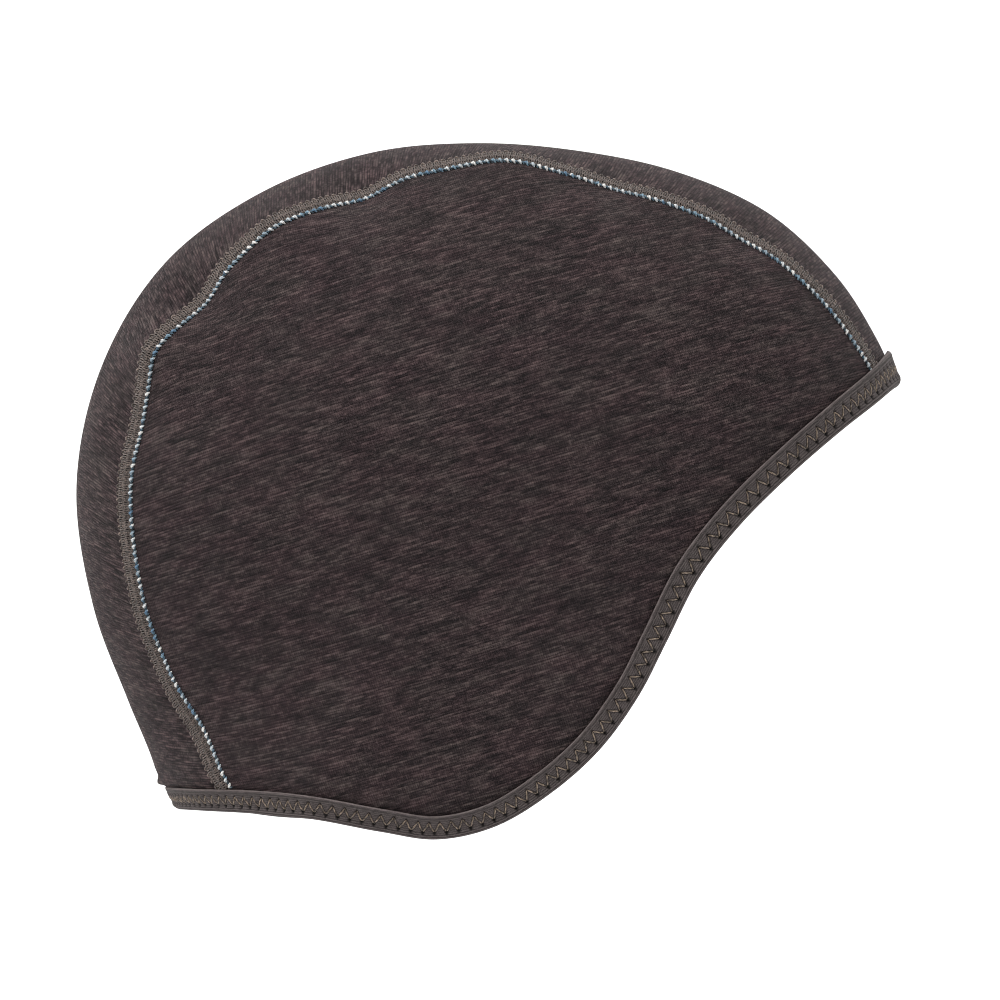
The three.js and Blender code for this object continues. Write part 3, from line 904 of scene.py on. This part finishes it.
# How deep the folded tape is at places along the edge, of BINDING_DEPTH
TAPE_DEPTH = {"along": [0, 0.1, 0.3, 0.5, 0.7, 0.9, 1], "share": [1.26, 1.18, 1.06, 0.98, 0.93, 0.9, 0.88]}
FOLD = 0.9  # how far up the round of the fold reaches
FRONT_FOLD = 1.0  # and how much further at the forehead
FRONT_REACH = 16  # mm from the middle of the forehead that the fuller fold takes

# Swells of the tape's face: how high each is, how far up its middle lies and how far it spreads
FOLD_SWELL = {"height": 0.32, "up": 1.1, "spread": 0.85}
FLATTENED = {"height": -0.18, "up": 3.6, "spread": 1.9}
EDGE_RIDGE = {"height": 0.14, "up": 6.35, "spread": 0.4}
FRONT_SWELLS = [
    {"height": 0.7, "up": 1.9, "spread": 1.25},
    {"height": 0.45, "up": 3.9, "spread": 1.3},
    {"height": 0.45, "up": 6.0, "spread": 1.6},
]
NAPE_SWELL = {"height": -0.8, "up": 6.8, "spread": 1.6}

FRONT_SLANT = 0.55  # mm that the tape's thick upper edge rises towards the cloth at the forehead
FRONT_DROP = 0.5  # how far the fold hangs lower there
NAPE_REACH = 20  # mm from the middle of the nape that the drawn-in edge takes
NAPE_LIFT = {"height": 0.9, "from": 0.945}  # how far up the fold rises to the middle of the nape

zigzag_along = np.linspace(0, 1, HEM_POINTS)
zigzag_pitch = read(ZIGZAG_PITCH, "along", "pitch", zigzag_along)
zigzag_phase = np.cumsum(np.concatenate([[0], HALF_HEM / (HEM_POINTS - 1) / zigzag_pitch[1:]]))
zigzag_phase *= round(zigzag_phase[-1]) / zigzag_phase[-1]
ZIGZAGS = round(zigzag_phase[-1])


def folded(along):
    """The place on the right half of the edge that a place round the whole edge, from 0 to 2, mirrors"""
    return 1 - np.abs(1 - np.abs(along))


def zigzag(along):
    """How far up the zigzag is, as a share of its height"""
    phase = np.interp(folded(along), zigzag_along, zigzag_phase)
    return 1 - np.abs(2 * (phase % 1) - 1)


def swell(form, up):
    """A round ridge along the tape, or a hollow if its height is less than 0"""
    return form["height"] * np.exp(-(((up - form["up"]) / form["spread"]) ** 2))


def at_forehead(along):
    """1 at the middle of the forehead, and fading to 0 along the edge"""
    return np.exp(-((folded(along) * HALF_HEM / FRONT_REACH) ** 2))


def at_nape(along):
    """1 at the middle of the nape, and fading to 0 along the edge"""
    return np.exp(-(((1 - folded(along)) * HALF_HEM / NAPE_REACH) ** 2))


def tape_height(along, up):
    """How far the tape's face stands off the cloth, swollen at the fold and drawn in along the zigzag"""
    height = BINDING_EASE + BINDING_CLOTH
    height += swell(FOLD_SWELL, up) + swell(FLATTENED, up) + swell(EDGE_RIDGE, up)
    height += sum(swell(form, up) for form in FRONT_SWELLS) * at_forehead(along)
    height += swell(NAPE_SWELL, up) * at_nape(along)
    pitch = read(ZIGZAG_PITCH, "along", "pitch", folded(along))
    slope = pitch / np.hypot(pitch, 2 * ZIGZAG_TALL)
    beside = (up - ZIGZAG_LOW - ZIGZAG_TALL * zigzag(along)) * slope
    height -= GROOVE["depth"] * np.exp(-((beside / GROOVE["width"]) ** 2))
    for tip, share in ((ZIGZAG_LOW, 0), (ZIGZAG_LOW + ZIGZAG_TALL, 1)):
        off = np.hypot(up - tip, np.abs(zigzag(along) - share) * pitch / 2)
        height -= HOLE["depth"] * np.exp(-((off / HOLE["width"]) ** 2))
    return height


def on_binding(along, up):
    """The cloth's outer face under the binding, round the whole edge, and the way out of it"""
    place = folded(along)
    point, _, way_up = hem_place(place)
    lift = NAPE_LIFT["height"] * smoothstep(NAPE_LIFT["from"], 1, place) - FRONT_DROP * at_forehead(along)
    up = up * read(TAPE_DEPTH, "along", "share", place) + lift * smoothstep(BINDING_DEPTH, 0, up)
    on, out = sew(onto_form(point + way_up * up[:, None]))
    side = np.where(along > 1, -1, 1)[:, None] * [0, 1, 0] + [1, 0, 1]
    return on * side, out * side


def tape_section():
    """Rows for the way round the tape's section: which face it is on, how far round the fold or from
    it up to the tape's edge, and how far into the tape, which is 2 thick"""
    lip = [
        (1 + LIP / BINDING_DEPTH * math.sin(turn), 1 - math.cos(turn))
        for turn in np.linspace(0, math.pi, LIP_ROWS)
    ]
    rows = [("outer", share, 0) for share in np.linspace(1, 0, FACE_ROWS["outer"])]
    rows += [("fold", turn, 0) for turn in np.linspace(0, math.pi, FOLD_ROWS)[1:-1]]
    rows += [("inner", share, 0) for share in np.linspace(0, 1, FACE_ROWS["inner"])]
    rows += [("inner", *row) for row in lip[1:]]
    rows += [("inner", 0.2, 2), ("outer", 0.2, 2)]
    rows += [("outer", *row) for row in reversed(lip)]
    return rows


def binding(name):
    """The folded tape, in columns round the whole edge"""
    section = tape_section()
    kinds = np.array([row[0] for row in section])
    firsts = np.array([row[1] for row in section])
    seconds = np.array([row[2] for row in section])
    top = BINDING_DEPTH - LIP

    def place(around, along_share):
        i = np.rint(around * (len(section) - 1)).astype(int)
        along = along_share * 2
        kind, first, into = kinds[i], firsts[i], seconds[i]
        fold = FOLD + FRONT_FOLD * at_forehead(along)
        up = np.where(kind == "fold", fold * (1 - np.sin(first)), blend(fold, top, first))
        face = tape_height(along, np.clip(up, fold, top)) - into * BINDING_CLOTH / 2
        upper_edge = (kind == "outer") & (first >= 1)
        up = up + np.where(upper_edge, FRONT_SLANT * into / 2, 0) * at_forehead(along)
        round_it = (CLOTH / 2 + face) * np.cos(first) - CLOTH / 2
        height = np.select([kind == "outer", kind == "inner"], [face, -CLOTH - face], round_it)
        on, out = on_binding(along, up)
        steps = np.interp(folded(along), zigzag_along, zigzag_phase) * ZIGZAG_STEP
        return on + out * height[:, None], np.stack([steps, up], axis=-1)

    return laid_grid(name, len(section) - 1, BINDING_COLUMNS, place, closed=True)


def zigzag_path(inward=False):
    """The zigzag's thread, which bows off the tape along each leg and dips into it at each tip"""
    step = np.arange(2 * ZIGZAGS * 2 * ZIGZAG_STEPS + 1) / (2 * ZIGZAG_STEPS)
    along = np.where(
        step <= ZIGZAGS,
        np.interp(step, zigzag_phase, zigzag_along),
        2 - np.interp(2 * ZIGZAGS - step, zigzag_phase, zigzag_along),
    )
    up = ZIGZAG_LOW + ZIGZAG_TALL * zigzag(along)
    leg = (2 * step) % 1
    bow = np.sin(math.pi * leg) ** 0.5
    height = tape_height(along, up) + blend(*LEG_BOW, bow)
    on, out = on_binding(along, up)
    height = -CLOTH - height if inward else height
    return on + out * height[:, None], out, ZIGZAG_RADIUS * blend(LEG_THIN, 1, bow)


trim = dress(binding("binding_tape"), binding_tape, ["hem_binding"])
for place_of_it, inward in {"outside": False, "inside": True}.items():
    path, out, thickness = zigzag_path(inward)
    piece = thread(f"zigzag_{place_of_it}", path, out, thickness, 6)
    dress(piece, zigzag_thread)


# Light, floor and camera
FRAME_WIDTH = 0.25  # metres that the camera sees across
VIEW_CENTRE = (0.00508, -0.08804)  # x and z of the picture's centre
EYE_DISTANCE = 1.0
FLOOR = -0.6
BOWL_RADIUS = 1.5
BOWL_TOP = 1.3
BOWL_BEND = 0.6
BOWL_SIDES = 72
DAYLIGHT = 0.85

# Each lamp's place, size and power, in metres and watts
LAMPS = {
    "key": ((-0.62, -0.52, 1.35), 0.7, 27),
    "fill": ((0.9, -0.8, 0.2), 0.8, 0.3),
    "behind": ((0.3, 1.0, 0.8), 0.8, 3),
}


def bowl():
    """A pale floor that curves up into a round wall, open on top"""
    bm = bmesh.new()
    bend = [math.radians(a) for a in range(-90, 1, 10)]
    flat = BOWL_RADIUS - BOWL_BEND
    side_on = [(0, FLOOR)]
    side_on += [(flat + BOWL_BEND * math.cos(a), FLOOR + BOWL_BEND + BOWL_BEND * math.sin(a)) for a in bend]
    side_on += [(BOWL_RADIUS, BOWL_TOP)]
    line = [bm.verts.new((x, 0, z)) for x, z in side_on]
    edges = [bm.edges.new(pair) for pair in zip(line, line[1:])]
    turn = {"axis": (0, 0, 1), "angle": 2 * math.pi, "steps": BOWL_SIDES}
    bmesh.ops.spin(bm, geom=line + edges, use_merge=True, **turn)
    bmesh.ops.remove_doubles(bm, verts=bm.verts, dist=MERGE)
    for face in bm.faces:
        face.smooth = True
    mesh = bpy.data.meshes.new("studio_floor")
    bm.to_mesh(mesh)
    bm.free()
    floor = bpy.data.objects.new("studio_floor", mesh)
    bpy.context.scene.collection.objects.link(floor)
    paper = Finish("studio_paper", roughness=1, sheen=0, sheen_colour=(1, 1, 1))
    paper.shader.inputs["Base Color"].default_value = (0.9, 0.9, 0.9, 1)
    floor.data.materials.append(paper.material)


def area_light(name, place, size, power):
    light = bpy.data.lights.new(name, "AREA")
    light.size = size
    light.energy = power
    lamp = bpy.data.objects.new(name, light)
    bpy.context.scene.collection.objects.link(lamp)
    lamp.location = place
    aim = [a - b for a, b in zip((VIEW_CENTRE[0], 0, VIEW_CENTRE[1]), place)]
    lamp.rotation_euler = Vector(aim).to_track_quat("-Z", "Y").to_euler()
    lamp.visible_camera = False


def studio():
    bowl()
    for name, lamp in LAMPS.items():
        area_light(name, *lamp)
    world = bpy.data.worlds.new("studio")
    world.use_nodes = True
    sky = world.node_tree.nodes["Background"]
    sky.inputs["Color"].default_value = (1, 1, 1, 1)
    sky.inputs["Strength"].default_value = DAYLIGHT
    bpy.context.scene.world = world
    bpy.context.scene.view_settings.view_transform = "Standard"
    bpy.context.scene.cycles.filter_width = 1.1  # pixels, a little crisper than the usual 1.5


def camera():
    eye = bpy.data.cameras.new("camera")
    eye.type = "ORTHO"
    eye.ortho_scale = FRAME_WIDTH
    holder = bpy.data.objects.new("camera", eye)
    bpy.context.scene.collection.objects.link(holder)
    holder.location = (VIEW_CENTRE[0], -EYE_DISTANCE, VIEW_CENTRE[1])
    holder.rotation_euler = (math.pi / 2, 0, 0)
    bpy.context.scene.camera = holder


studio()
camera()
